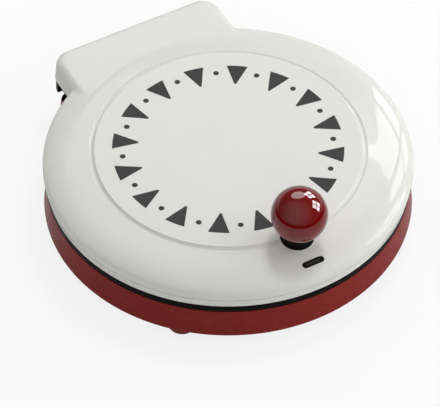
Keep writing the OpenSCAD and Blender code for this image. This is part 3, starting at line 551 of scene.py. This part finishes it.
def plastic(name, colour, rough, grain=900, relief=0.05, coat=0.0, mottle=0.06, specular=0.5):
    """Moulded plastic: faint flow marks in its colour, fine surface ripple and uneven gloss."""
    material, graph, shader, where = new_material(name)
    flow = graph.ranged(graph.noise(where, 22, 3), 0, 1)
    base = graph.tinted(flow, scaled(colour, 1 - mottle), scaled(colour, 1 + mottle))
    graph.feed(shader.inputs["Base Color"], base)
    gloss = graph.ranged(graph.noise(where, 60), rough * 0.8, rough * 1.25)
    graph.feed(shader.inputs["Roughness"], gloss)
    graph.feed(shader.inputs["Specular IOR Level"], specular)
    graph.feed(shader.inputs["Coat Weight"], coat)
    graph.feed(shader.inputs["Coat Roughness"], 0.04)
    graph.bumped(shader, graph.noise(where, grain, 2), relief, 0.04 * MM)
    graph.bumped(shader, graph.noise(where, 35, 1), relief, 0.3 * MM)
    return material


def metal(name, colour, rough, scale=400, relief=0.1, streak=(1, 1, 1)):
    """Sheet or turned metal with fine drawing lines and small stains."""
    material, graph, shader, where = new_material(name)
    graph.feed(shader.inputs["Metallic"], 1.0)
    stretch = graph.add("Mapping", {"Vector": where, "Scale": streak})
    lines = graph.noise(stretch.outputs["Vector"], scale, 3)
    stain = graph.ranged(graph.noise(where, 70, 5), 0, 1, 0.42, 0.66)
    graph.feed(shader.inputs["Base Color"], graph.tinted(stain, colour, scaled(colour, 0.72)))
    graph.feed(shader.inputs["Roughness"], graph.ranged(lines, rough * 0.75, rough * 1.3))
    graph.bumped(shader, lines, relief, 0.05 * MM)
    return material


def coated_cast():
    """Non-stick coating over cast aluminium: speckled, with a fine pebble and faint wear."""
    material, graph, shader, where = new_material("nonstick_coating")
    fleck = graph.ranged(graph.noise(where, 1500, 2), 0, 1, 0.62, 0.72)
    speckled = graph.tinted(fleck, srgb(38, 38, 40), srgb(92, 92, 94))
    graph.feed(shader.inputs["Base Color"], speckled)
    graph.feed(shader.inputs["Roughness"], graph.ranged(graph.noise(where, 90, 5), 0.3, 0.46))
    graph.bumped(shader, graph.noise(where, 1100, 3), 0.25, 0.06 * MM)
    return material


FINISHES = {}


def make_materials(colours):
    """Fills FINISHES with the finishes of the pizza maker, by name."""
    plastics = {
        "lid_white": dict(
            colour=colours.lid, rough=0.035, grain=700, relief=0.03, mottle=0.006, specular=0.11
        ),
        "base_red": dict(colour=colours.base, rough=0.24, mottle=0.025, specular=0.08),
        "ball_red": dict(
            colour=colours.ball, rough=0.02, grain=700, relief=0.01, mottle=0.05, specular=0.7
        ),
        "black_plastic": dict(
            colour=colours.black, rough=0.3, grain=1200, relief=0.12, mottle=0.1, specular=0.04
        ),
        "rubber": dict(colour=srgb(30, 30, 31), rough=0.75, grain=1600, relief=0.4, mottle=0.1),
        "ceramic": dict(colour=srgb(228, 222, 206), rough=0.5, grain=1500, relief=0.2, mottle=0.04),
        "lens": dict(
            colour=srgb(17, 19, 18), rough=0.12, grain=700, relief=0.01, mottle=0.05, specular=0.12
        ),
        "smoked": dict(
            colour=srgb(52, 52, 47), rough=0.1, grain=700, relief=0.02, mottle=0.2, specular=0.3
        ),
        "lamp": dict(colour=srgb(190, 74, 42), rough=0.2, grain=700, coat=0.3, mottle=0.05),
        "board": dict(colour=srgb(46, 88, 50), rough=0.4, grain=1500, relief=0.2, mottle=0.1),
        "ink": dict(colour=colours.ink, rough=0.32, grain=1500, relief=0.1, specular=0.1),
    }
    metals = {
        "screw_steel": dict(colour=srgb(176, 178, 182), rough=0.28),
        "sheath_steel": dict(colour=srgb(128, 126, 122), rough=0.42),
        "sheet_steel": dict(
            colour=srgb(196, 198, 202), rough=0.25, scale=260, relief=0.08, streak=(1, 14, 1)
        ),
        "brass": dict(colour=srgb(196, 158, 88), rough=0.3),
    }
    FINISHES.update({name: plastic(name, **look) for name, look in plastics.items()})
    FINISHES.update({name: metal(name, **look) for name, look in metals.items()})
    FINISHES["coating"] = coated_cast()


def dress(finish, *nodes):
    """Gives nodes of the frame their finish and smooth shading."""
    for node in nodes:
        shade(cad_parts[node], FINISHES[finish], 32)


# ---------------------------------------------------------------- settings


class Colours(bpy.types.PropertyGroup):
    """The colours that a user would choose."""

    lid: bpy.props.FloatVectorProperty(
        name="Lid",
        description="Colour of the lid shell",
        default=srgb(229, 229, 225),
        min=0.0,
        max=1.0,
        size=4,
        subtype="COLOR",
    )
    base: bpy.props.FloatVectorProperty(
        name="Base",
        description="Colour of the base and its feet",
        default=srgb(133, 41, 37),
        min=0.0,
        max=1.0,
        size=4,
        subtype="COLOR",
    )
    ball: bpy.props.FloatVectorProperty(
        name="Ball",
        description="Colour of the ball knob",
        default=srgb(116, 13, 12),
        min=0.0,
        max=1.0,
        size=4,
        subtype="COLOR",
    )
    black: bpy.props.FloatVectorProperty(
        name="Black parts",
        description="Colour of the collar, the bezels and the hinge cover",
        default=srgb(17, 17, 16),
        min=0.0,
        max=1.0,
        size=4,
        subtype="COLOR",
    )
    ink: bpy.props.FloatVectorProperty(
        name="Ink",
        description="Colour of the printed marks",
        default=srgb(50, 50, 50),
        min=0.0,
        max=1.0,
        size=4,
        subtype="COLOR",
    )


class Sizes(bpy.types.PropertyGroup):
    """The sizes that a user would change."""

    ball_radius: bpy.props.FloatProperty(
        name="Ball radius",
        description="Radius of the ball knob",
        default=24.9 * MM,
        min=23 * MM,
        max=28 * MM,
        unit="LENGTH",
    )
    marks: bpy.props.IntProperty(
        name="Marks",
        description="How many printed slices stand in the ring on the disc",
        default=16,
        min=0,
        max=24,
    )
    mark_width: bpy.props.FloatProperty(
        name="Mark width",
        description="Width of a printed slice at its crust",
        default=19 * MM,
        min=5 * MM,
        max=25 * MM,
        unit="LENGTH",
    )
    mark_ring: bpy.props.FloatProperty(
        name="Mark ring",
        description="Outer radius of the ring of marks",
        default=103 * MM,
        min=80 * MM,
        max=110 * MM,
        unit="LENGTH",
    )


class StageLook(bpy.types.PropertyGroup):
    """The light around the pizza maker."""

    key_power: bpy.props.FloatProperty(
        name="Key light",
        description="Power of the soft light high at the right rear",
        default=8.5,
        min=0.0,
        unit="POWER",
    )
    fill_power: bpy.props.FloatProperty(
        name="Fill light",
        description="Power of the soft lights at the front and the left",
        default=4.0,
        min=0.0,
        unit="POWER",
    )
    side_power: bpy.props.FloatProperty(
        name="Side light",
        description="Power of the soft lights at the right",
        default=18.0,
        min=0.0,
        unit="POWER",
    )
    rear_power: bpy.props.FloatProperty(
        name="Rear light",
        description="Power of the soft light behind",
        default=13.0,
        min=0.0,
        unit="POWER",
    )
    window_glow: bpy.props.FloatProperty(
        name="Window glow",
        description="Brightness of the window panes that gloss mirrors",
        default=13.0,
        min=0.0,
    )
    world_level: bpy.props.FloatProperty(
        name="Room light",
        description="Brightness of the even light from all round",
        default=0.39,
        min=0.0,
    )


# ---------------------------------------------------------------- pieces


class PIZZA_OT_materials(bpy.types.Operator):
    """Mix the plastics, metals, coating and rubber of the pizza maker"""

    bl_idname = "pizza.materials"
    bl_label = "Materials"

    def execute(self, context):
        make_materials(context.scene.pizza_colours)
        return {"FINISHED"}


class PIZZA_OT_lid(bpy.types.Operator):
    """Mould the white lid with its groove, rim and hinge hood in one piece"""

    bl_idname = "pizza.lid"
    bl_label = "Lid shell"

    def execute(self, context):
        lid = put("lid_dome", lid_mesh(), "lid", "lid_white", ["lid_shell"], 40)
        foot = [(0.0, -PAD_DEEP, 0.0), (PAD_R + 0.4, -PAD_DEEP, 0.0)]
        pad = rounded(foot + [(PAD_R, 0.0, 0.5), (0.0, 0.0, 0.0)])
        combine(lid, lathe_mesh(pad, 96), knob_matrix(), "UNION")
        hole = stadium(WINDOW_L + WINDOW_GAP, WINDOW_W + WINDOW_GAP, -HOLE_REACH, HOLE_REACH)
        combine(lid, hole, window_matrix(), "DIFFERENCE")
        shade(lid, FINISHES["lid_white"], 35)
        dress("black_plastic", "lid_bezel")
        return {"FINISHED"}


class PIZZA_OT_marks(bpy.types.Operator):
    """Print a plain ring of slices and dots on the disc"""

    bl_idname = "pizza.marks"
    bl_label = "Printed marks"

    def execute(self, context):
        sizes = context.scene.pizza_sizes
        ring, width = in_mm(sizes.mark_ring), in_mm(sizes.mark_width)
        pitch = 2 * math.pi / max(sizes.marks, 1)
        verts, faces = [], []
        for i in range(sizes.marks):
            add_print(verts, faces, slice_outline(ring, width), pitch * (i + 0.5))
            add_print(verts, faces, dot_outline(ring), pitch * i)
        if sizes.marks:
            put("disc_marks", (verts, faces), "lid", "ink")
        return {"FINISHED"}


class PIZZA_OT_knob(bpy.types.Operator):
    """Turn the red ball, its black collar and the steel inside them"""

    bl_idname = "pizza.knob"
    bl_label = "Knob"

    def execute(self, context):
        radius = in_mm(context.scene.pizza_sizes.ball_radius)
        ball = [(0.0, -BALL_FLAT)]
        for a in np.linspace(-math.asin(BALL_FLAT / radius), math.pi / 2, 72):
            ball.append((max(radius * math.cos(a), 0.0), radius * math.sin(a)))
        ball[-1] = (0.0, radius)
        put(
            "ball_grip", lathe_mesh(ball, 160), "lid", "ball_red",
            ["knob_ball"], 40, knob_matrix(BALL_UP),
        )
        neck = COLLAR_R - COLLAR_STEP
        foot = [(0.0, 0.0, 0.0), (COLLAR_R, 0.0, 0.5), (COLLAR_R, 2.2, 0.7)]
        collar = rounded(foot + [(neck, 4.4, 2.6), (neck, COLLAR_H, 0.6), (0.0, COLLAR_H, 0.0)])
        put(
            "ball_collar", lathe_mesh(collar, 128), "lid", "black_plastic",
            ["knob_collar"], 40, knob_matrix(),
        )
        dress("brass", "knob_insert")
        dress("screw_steel", "knob_stud", "knob_washer")
        return {"FINISHED"}


class PIZZA_OT_window(bpy.types.Operator):
    """Set the clearer strip into the dark indicator lens"""

    bl_idname = "pizza.window"
    bl_label = "Indicator window"

    def execute(self, context):
        dress("lens", "indicator_lens")
        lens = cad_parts["indicator_lens"]
        square = (TO_FRAME @ window_matrix()).inverted() @ lens.matrix_world
        top = max((square @ vert.co).z for vert in lens.data.vertices)
        strip = stadium(STRIP_L, STRIP_W, top - STRIP_DEEP, top + STRIP_UP)
        put("window_strip", strip, "lid", "smoked", at=window_matrix())
        return {"FINISHED"}


class PIZZA_OT_base(bpy.types.Operator):
    """Finish the red base, its feet and the black band around the top"""

    bl_idname = "pizza.base"
    bl_label = "Base"

    def execute(self, context):
        dress("base_red", "base_shell", "feet")
        dress("rubber", "foot_pads")
        dress("black_plastic", "base_bezel", "cord_gland")
        return {"FINISHED"}


class PIZZA_OT_hinge(bpy.types.Operator):
    """Finish the hinge brackets, the pin and the cover under the hood"""

    bl_idname = "pizza.hinge"
    bl_label = "Hinge"

    def execute(self, context):
        dress("black_plastic", "hinge_brackets", "hinge_cover")
        dress("screw_steel", "hinge_pin")
        return {"FINISHED"}


class PIZZA_OT_plates(bpy.types.Operator):
    """Finish the two cooking plates"""

    bl_idname = "pizza.plates"
    bl_label = "Cooking plates"

    def execute(self, context):
        dress("coating", "lower_plate", "upper_plate")
        return {"FINISHED"}


class PIZZA_OT_inner_parts(bpy.types.Operator):
    """Finish the heaters, reflectors, thermostats, wiring parts and screws"""

    bl_idname = "pizza.inner_parts"
    bl_label = "Inner parts"

    def execute(self, context):
        for half in ("lower", "upper"):
            dress("sheath_steel", half + "_heater")
            dress("sheet_steel", half + "_reflector")
            dress("black_plastic", half + "_thermostat")
            dress("ceramic", half + "_heater_terminals")
            dress("screw_steel", half + "_reflector_screws")
        dress("ceramic", "thermal_fuse", "terminal_block")
        for held in ("foot", "base", "hinge", "lid", "cover"):
            dress("screw_steel", held + "_screws")
        dress("lamp", "indicator_lamps")
        dress("board", "lamp_board")
        return {"FINISHED"}


# ---------------------------------------------------------------- stage, in metres and degrees

TARGET = Vector((0, AXIS_Y, 0.07))  # what the lights point at
CAMERA_AIM = Vector((0, AXIS_Y, 0.01))  # what the camera turns around
CAMERA_TURN = 29.1  # how far the camera stands to the left of the front
CAMERA_DOWN = 46.846  # how far it looks down
CAMERA_AWAY = 3.5
CAMERA_LEFT, CAMERA_LOW = 0.00725, 0.004393  # how far it is moved aside, to its left and down
CAMERA_LENS = 318.54  # in millimetres, on a sensor 36 mm wide

FLOOR_SIZE = 6.0  # from its middle to each edge
FLOOR_GLOSS = 0.5  # brightness of the floor near the pizza maker, as gloss mirrors it
FLOOR_FADE = (0.44, 0.5)  # distances from under the knob between which that fades away
FLOOR_REAR = 0.6  # brightness of the floor behind, as gloss mirrors it
REAR_FADE = (0.25, 0.5)  # distances to the rear between which that sets in
FLOOR_GLOW = 0.84  # how much of the floor near by glows white, and the rest takes the shadow
ROOM_GLOSS = 0.3  # how much of the room light gloss mirrors
LOW_FADE = (0.04, 0.15)  # heights in the world between which its white low part ends
LOW_REAR_FADE = (0.3, 0.7)  # and how far to the rear that part sets in
FRONT_GLOW = 0.45  # brightness of the room behind the camera, which gloss mirrors
FRONT_AT = (-112, 47)  # degrees round and up to the middle of that glow
FRONT_FADE = (0.4, 0.97)  # how near that way the glow sets in and is full

# name, its setting, share of that power, width, degrees round and up, distance
SOFT_LIGHTS = (
    ("key_light", "key_power", 1.0, 0.4, 62, 71, 2.0),
    ("side_light", "side_power", 1.0, 2.0, 14, 31, 2.5),
    ("low_side_light", "side_power", 0.92, 1.2, -14, 5, 2.5),
    ("rear_light", "rear_power", 1.0, 2.2, 95, 40, 2.5),
    ("front_fill", "fill_power", 1.0, 1.4, -80, 38, 2.5),
    ("left_fill", "fill_power", 0.3, 1.4, -170, 35, 2.5),
)
# name, degrees round and up, width and height
WINDOWS = (("rear_window", 55, 33, 1.05, 1.25), ("side_window", 12, 27, 1.2, 1.35))
WINDOW_AWAY = 2.5
WINDOW_BAR = 0.13
CEILING_POWER = 17.0
CEILING_SIZE = (1.5, 1.35)
CEILING_AT = (94, 53, 2.0)  # degrees round and up, distance


def area_light(name, power, width, height, place, target):
    """A soft rectangular light that points at a target."""
    light = bpy.data.lights.new(name, "AREA")
    light.energy = power
    light.shape = "RECTANGLE"
    light.size, light.size_y = width, height
    holder = bpy.data.objects.new(name, light)
    bpy.context.scene.collection.objects.link(holder)
    holder.location = place
    holder.rotation_mode = "QUATERNION"
    holder.rotation_quaternion = (target - place).to_track_quat("-Z", "Y")
    return holder


def around_camera(turn, rise, distance):
    """A place at so many degrees from the camera's right towards its rear, and so many up."""
    turn, rise = math.radians(turn - CAMERA_TURN), math.radians(rise)
    flat, up = distance * math.cos(rise), distance * math.sin(rise)
    return Vector((flat * math.cos(turn), AXIS_Y + flat * math.sin(turn), up))


def window_panes(name, turn, rise, width, height, glow):
    """Four panes of a window, which only gloss sees: the soft lights do the lighting."""
    middle = around_camera(turn, rise, WINDOW_AWAY)
    ahead = (TARGET - middle).normalized()
    side = ahead.cross(Vector((0, 0, 1))).normalized()
    up = side.cross(ahead)
    pane_w, pane_h = (width - WINDOW_BAR) / 2, (height - WINDOW_BAR) / 2
    power = glow * math.pi * pane_w * pane_h
    for i in (-1, 1):
        for j in (-1, 1):
            across, upward = i * (pane_w + WINDOW_BAR) / 2, j * (pane_h + WINDOW_BAR) / 2
            place = middle + side * across + up * upward
            pane = area_light(name, power, pane_w, pane_h, place, place + ahead)
            pane.visible_diffuse = False


def make_camera():
    """The camera at the front left, looking down at the lid."""
    turn, down = math.radians(CAMERA_TURN), math.radians(CAMERA_DOWN)
    to_rear = Vector((math.sin(turn), math.cos(turn), 0))
    right = Vector((math.cos(turn), -math.sin(turn), 0))
    up = to_rear * math.sin(down) + Vector((0, 0, math.cos(down)))
    ahead = to_rear * math.cos(down) - Vector((0, 0, math.sin(down)))
    data = bpy.data.cameras.new("camera")
    data.sensor_width = 36.0
    data.lens = CAMERA_LENS
    data.clip_start, data.clip_end = 0.1, 50.0
    camera = bpy.data.objects.new("camera", data)
    bpy.context.scene.collection.objects.link(camera)
    aside = right * CAMERA_LEFT + up * CAMERA_LOW
    camera.location = CAMERA_AIM - ahead * CAMERA_AWAY - aside
    camera.rotation_mode = "QUATERNION"
    camera.rotation_quaternion = Matrix((right, up, -ahead)).transposed().to_quaternion()
    bpy.context.scene.camera = camera


def make_floor():
    """A white floor that keeps the soft shadow. Gloss mirrors it where it is near or behind."""
    work = bmesh.new()
    bmesh.ops.create_grid(work, x_segments=8, y_segments=8, size=FLOOR_SIZE)
    mesh = bpy.data.meshes.new("studio_floor")
    work.to_mesh(mesh)
    work.free()
    floor = bpy.data.objects.new("studio_floor", mesh)
    bpy.context.scene.collection.objects.link(floor)
    material = bpy.data.materials.new("studio_white")
    graph = Graph(material)
    ray = graph.add("LightPath", {}).outputs
    place = graph.add("TexCoord", {}).outputs["Object"]
    knob = (0, AXIS_Y - KNOB_AT * MM, 0)
    far = graph.add("VectorMath", {0: place, 1: knob}, operation="DISTANCE").outputs["Value"]
    near = graph.ranged(far, FLOOR_GLOSS, 0, *FLOOR_FADE)
    rear = graph.maths("MULTIPLY", graph.behind(place, *REAR_FADE), FLOOR_REAR)
    strength = graph.maths("MAXIMUM", ray["Is Camera Ray"], graph.maths("MAXIMUM", near, rear))
    glow = graph.add("Emission", {"Strength": strength})
    paper = graph.add("BsdfDiffuse", {"Color": (0.9, 0.9, 0.9, 1)})
    seen = graph.maths("MAXIMUM", ray["Is Camera Ray"], ray["Is Glossy Ray"])
    cover = graph.maths("MULTIPLY_ADD", near, (FLOOR_GLOW - 1) / FLOOR_GLOSS, 1.0)
    graph.surface("Material", graph.maths("MULTIPLY", seen, cover), paper, glow)
    mesh.materials.append(material)


def make_world(level):
    """An even room, white where it is seen. Gloss mirrors it white low down at the rear, with a
    soft glow behind the camera, and dim elsewhere."""
    scene = bpy.context.scene
    world = scene.world or bpy.data.worlds.new("studio")
    scene.world = world
    graph = Graph(world)
    ray = graph.add("LightPath", {}).outputs
    where = graph.add("TexCoord", {}).outputs["Generated"]
    height = graph.add("SeparateXYZ", {0: where}).outputs["Z"]
    band = graph.ranged(height, 1, 0, *LOW_FADE)
    low = graph.maths("MULTIPLY", band, graph.behind(where, *LOW_REAR_FADE))
    seen = graph.maths("MAXIMUM", ray["Is Camera Ray"], ray["Is Transmission Ray"])
    share = graph.maths("MULTIPLY_ADD", ray["Is Glossy Ray"], low, seen)
    to_front = around_camera(*FRONT_AT, 1.0) - Vector((0, AXIS_Y, 0))
    less = (ROOM_GLOSS - 1) * level
    change = graph.ranged(graph.along(where, to_front), less, less + FRONT_GLOW, *FRONT_FADE)
    strength = graph.maths("MULTIPLY_ADD", ray["Is Glossy Ray"], change, level)
    room = graph.add("Background", {"Color": (1, 1, 1, 1), "Strength": strength})
    white = graph.add("Background", {"Color": (1, 1, 1, 1), "Strength": 1.0})
    graph.surface("World", share, room, white)


class PIZZA_OT_stage(bpy.types.Operator):
    """Set the camera, the floor and the lights"""

    bl_idname = "pizza.stage"
    bl_label = "Stage"

    def execute(self, context):
        look = context.scene.pizza_stage
        context.scene.view_settings.view_transform = "Standard"
        make_camera()
        make_floor()
        make_world(look.world_level)
        for name, setting, share, width, turn, rise, distance in SOFT_LIGHTS:
            place = around_camera(turn, rise, distance)
            light = area_light(name, getattr(look, setting) * share, width, width, place, TARGET)
            light.visible_glossy = False
        for window in WINDOWS:
            window_panes(*window, look.window_glow)
        above = around_camera(*CEILING_AT)
        lamp = area_light("ceiling_glow", CEILING_POWER, *CEILING_SIZE, above, TARGET)
        lamp.data.shape = "ELLIPSE"
        lamp.visible_diffuse = False
        return {"FINISHED"}


# ---------------------------------------------------------------- panel and registration

PIECES = (
    PIZZA_OT_materials,
    PIZZA_OT_lid,
    PIZZA_OT_marks,
    PIZZA_OT_knob,
    PIZZA_OT_window,
    PIZZA_OT_base,
    PIZZA_OT_hinge,
    PIZZA_OT_plates,
    PIZZA_OT_inner_parts,
    PIZZA_OT_stage,
)


class PIZZA_PT_panel(bpy.types.Panel):
    """Lists the sizes, the colours, the light and the pieces"""

    bl_idname = "PIZZA_PT_panel"
    bl_label = "Pizza maker"
    bl_space_type = "VIEW_3D"
    bl_region_type = "UI"
    bl_category = "Pizza Maker"

    def draw(self, context):
        scene = context.scene
        for look in (scene.pizza_sizes, scene.pizza_colours, scene.pizza_stage):
            for name in look.bl_rna.properties.keys():
                if name not in ("rna_type", "name"):
                    self.layout.prop(look, name)
        for piece in PIECES:
            self.layout.operator(piece.bl_idname)


CLASSES = (Colours, Sizes, StageLook, *PIECES, PIZZA_PT_panel)


def register():
    """Adds the add-on's classes and its settings."""
    for item in CLASSES:
        bpy.utils.register_class(item)
    bpy.types.Scene.pizza_colours = bpy.props.PointerProperty(type=Colours)
    bpy.types.Scene.pizza_sizes = bpy.props.PointerProperty(type=Sizes)
    bpy.types.Scene.pizza_stage = bpy.props.PointerProperty(type=StageLook)


def unregister():
    """Removes them again."""
    del bpy.types.Scene.pizza_stage
    del bpy.types.Scene.pizza_sizes
    del bpy.types.Scene.pizza_colours
    for item in reversed(CLASSES):
        bpy.utils.unregister_class(item)


def main():
    """Builds the pizza maker."""
    register()
    for piece in PIECES:
        group, name = piece.bl_idname.split(".")
        getattr(getattr(bpy.ops, group), name)()


if __name__ == "__main__":
    main()
